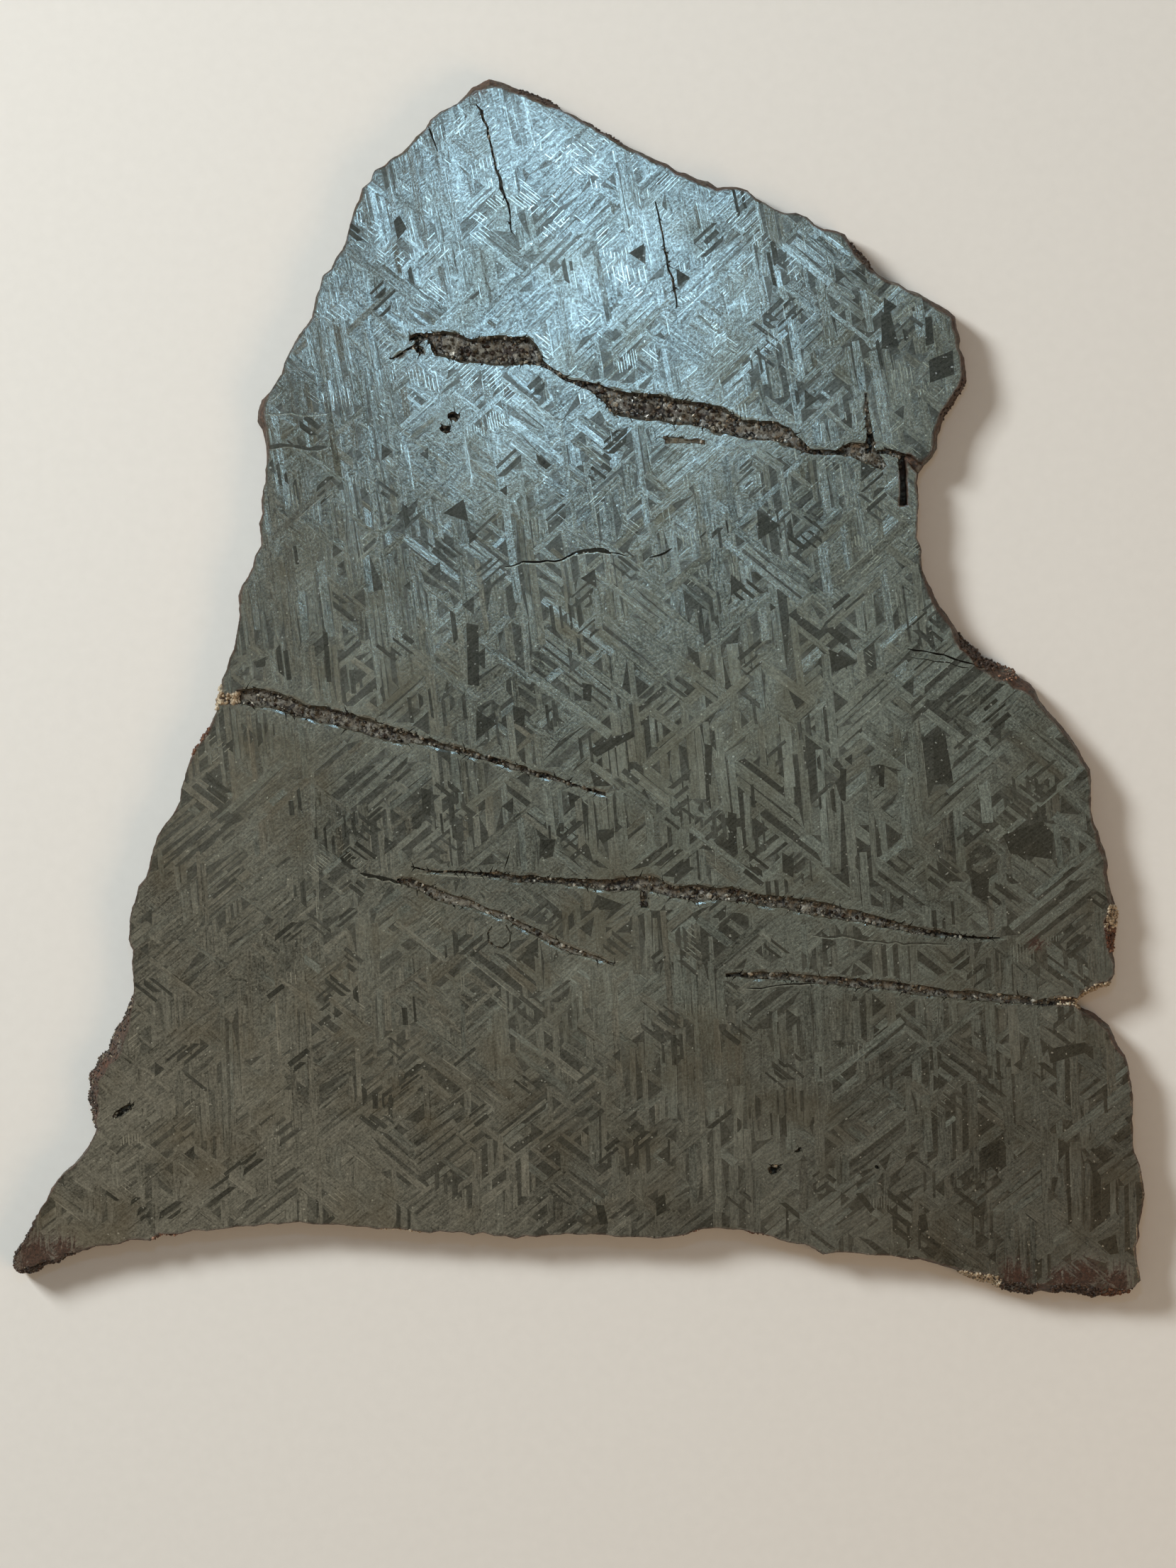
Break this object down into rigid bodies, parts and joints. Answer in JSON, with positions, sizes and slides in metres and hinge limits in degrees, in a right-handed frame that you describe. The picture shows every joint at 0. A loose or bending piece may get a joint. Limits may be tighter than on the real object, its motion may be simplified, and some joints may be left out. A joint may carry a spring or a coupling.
{
  "type": "iron meteorite slice",
  "caption": "Flat slab of iron meteorite with a ragged natural rim, an etched front with crossing bands, long filled fissures and a notched edge.",
  "frame": {"origin": "middle of the slice's bounding box in plan, on the plane of its sawn back face", "axes": "+Z out of the etched front face, +Y along the longest side towards the pointed end, +X across it"},
  "size_m": [0.1202, 0.13, 0.004],
  "materials": {
    "etched_iron": "etched, satin grey with darker fields",
    "rust_crust": "dull brown oxide on the natural rim",
    "fissure_filling": "granular, grey-brown with bright grains"
  },
  "bodies": {
    "root": {"meteorite_slice": "etched_iron"}
  },
  "joints": []
}
